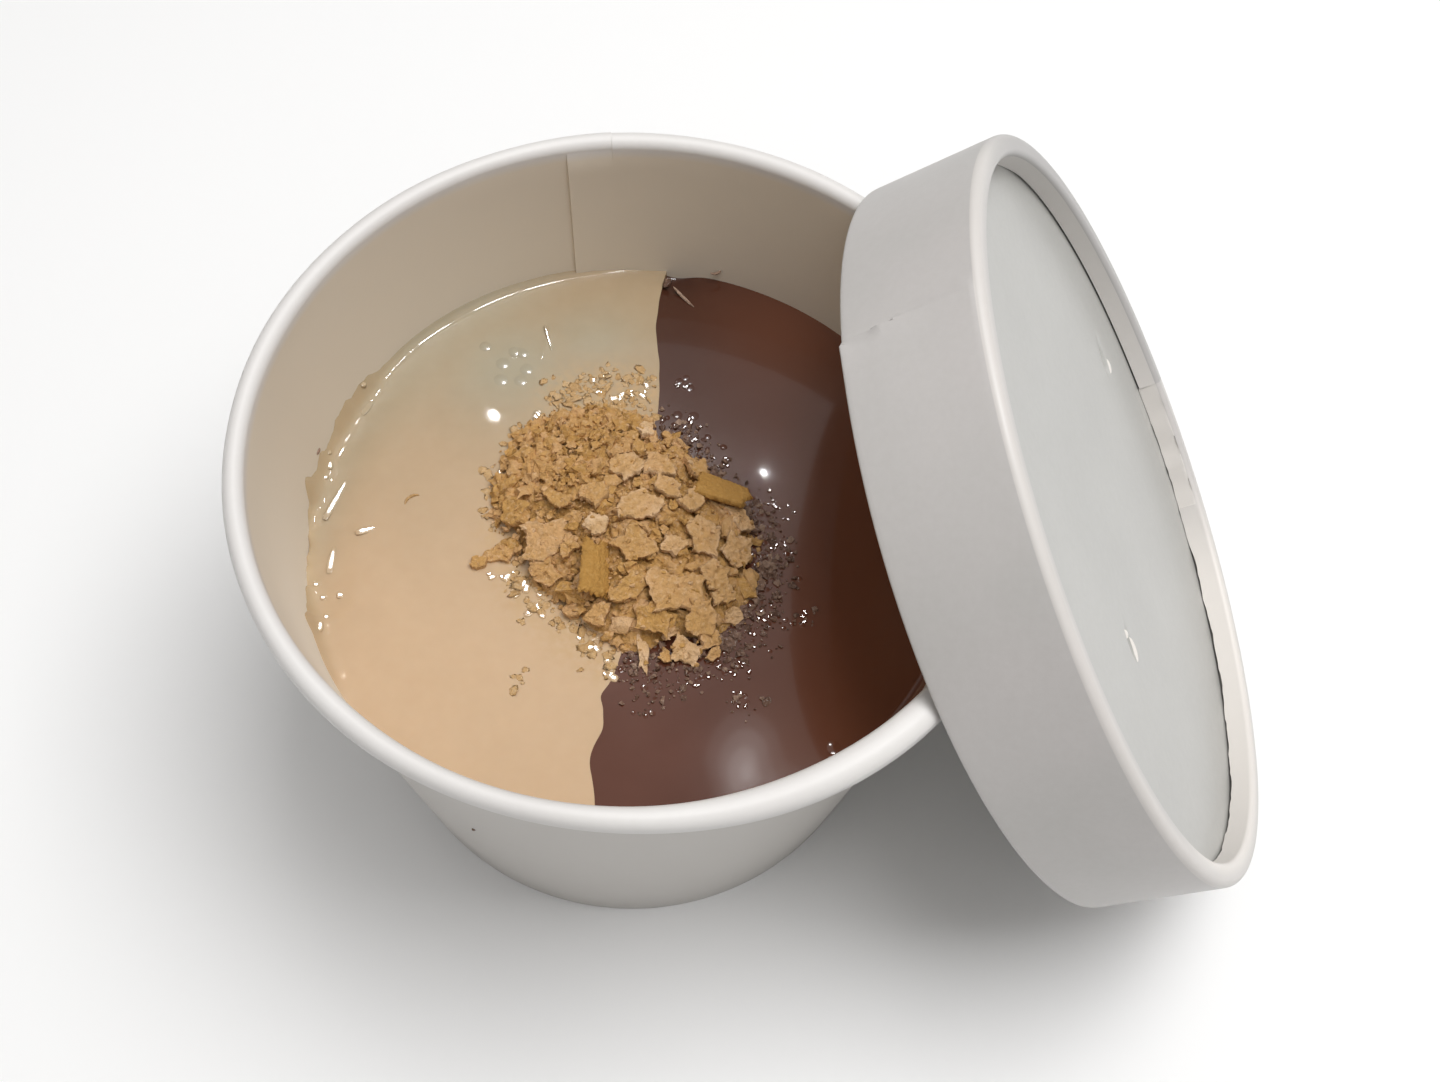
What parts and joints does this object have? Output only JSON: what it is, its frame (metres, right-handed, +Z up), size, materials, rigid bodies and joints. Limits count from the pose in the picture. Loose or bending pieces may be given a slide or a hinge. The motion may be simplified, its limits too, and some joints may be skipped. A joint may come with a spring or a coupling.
{
  "type": "pudding cup",
  "caption": "Tapered paper cup with a rolled rim, filled with cream and chocolate pudding under a heap of biscuit crumbs, its loose paper lid leaning on the rim.",
  "frame": {"origin": "on the table under the middle of the bounding box of cup and lid", "axes": "+Z up along the cup's axis, +X from the cup to the leaning lid, +Y to the back of the pictured view"},
  "size_m": [0.1416, 0.1022, 0.0945],
  "materials": {
    "cup_paper": "coated white cupstock, satin",
    "lid_paper": "coated white board, satin",
    "lid_disc_paper": "coated white board, semi-gloss",
    "cream_pudding": "wet, glossy, set cream pudding",
    "chocolate_pudding": "wet, glossy, set chocolate pudding",
    "biscuit_crumb": "dry flaky golden biscuit"
  },
  "bodies": {
    "root": {"cup_wall": "cup_paper", "cup_floor": "cup_paper", "pudding_cream": "cream_pudding", "pudding_chocolate": "chocolate_pudding", "crumb_heap": "biscuit_crumb", "lid_band": "lid_paper", "lid_disc": "lid_disc_paper"}
  },
  "joints": []
}
